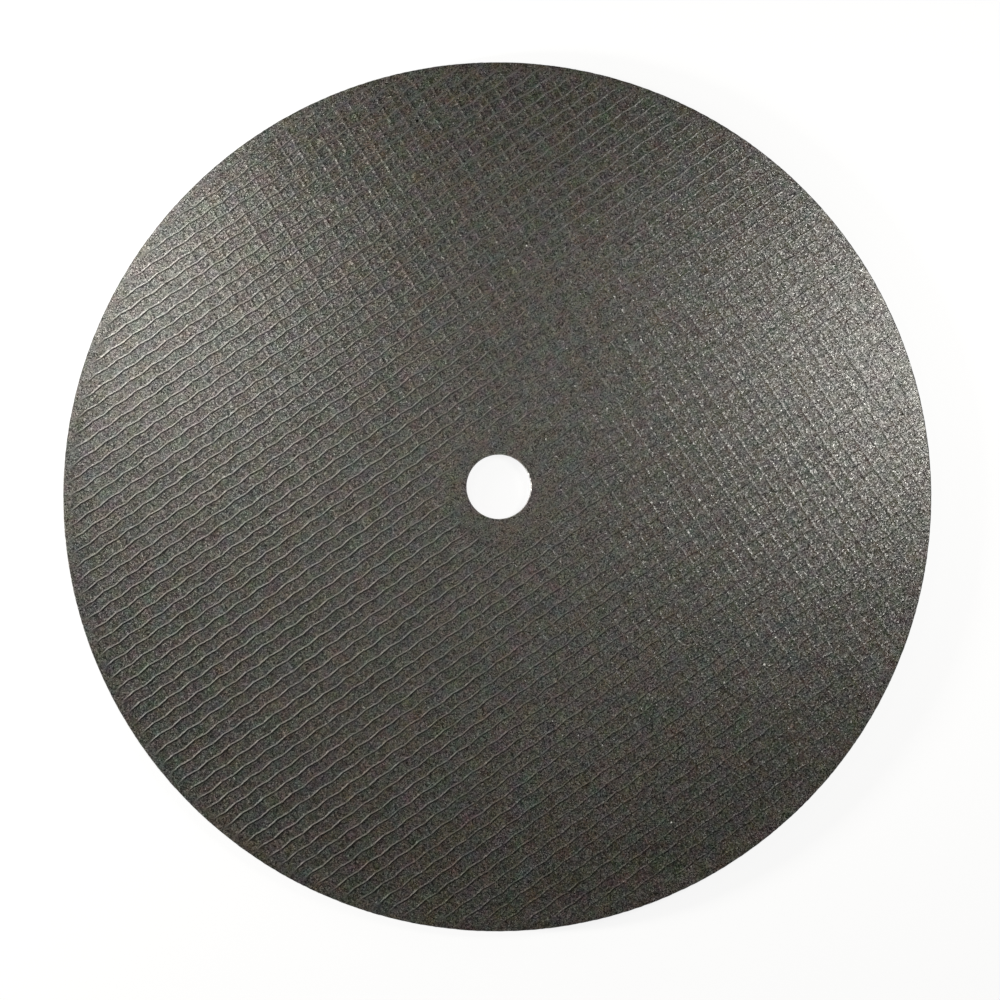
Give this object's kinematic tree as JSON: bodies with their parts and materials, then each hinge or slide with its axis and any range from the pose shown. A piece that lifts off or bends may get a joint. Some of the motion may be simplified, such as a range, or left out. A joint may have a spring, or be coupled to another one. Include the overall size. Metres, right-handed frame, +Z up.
{
  "type": "cut off wheel",
  "caption": "Flat round resin-bonded abrasive wheel for cutting, with a central bore and the fine raised ridges of its reinforcing mesh on both faces.",
  "frame": {"origin": "on the bore's axis, at the wheel's lower face, which lies on the surface below", "axes": "+Z up along the bore's axis, through the wheel's thickness; +X to the right and +Y away from someone who looks down on the upper face; the upper face's ridges run 35.25 degrees from +X towards +Y"},
  "size_m": [0.3, 0.3, 0.003],
  "materials": {
    "bonded_abrasive": "dark grey-brown, gritty, with a dull resin sheen"
  },
  "bodies": {
    "root": {"cutoff_wheel": "bonded_abrasive"}
  },
  "joints": []
}
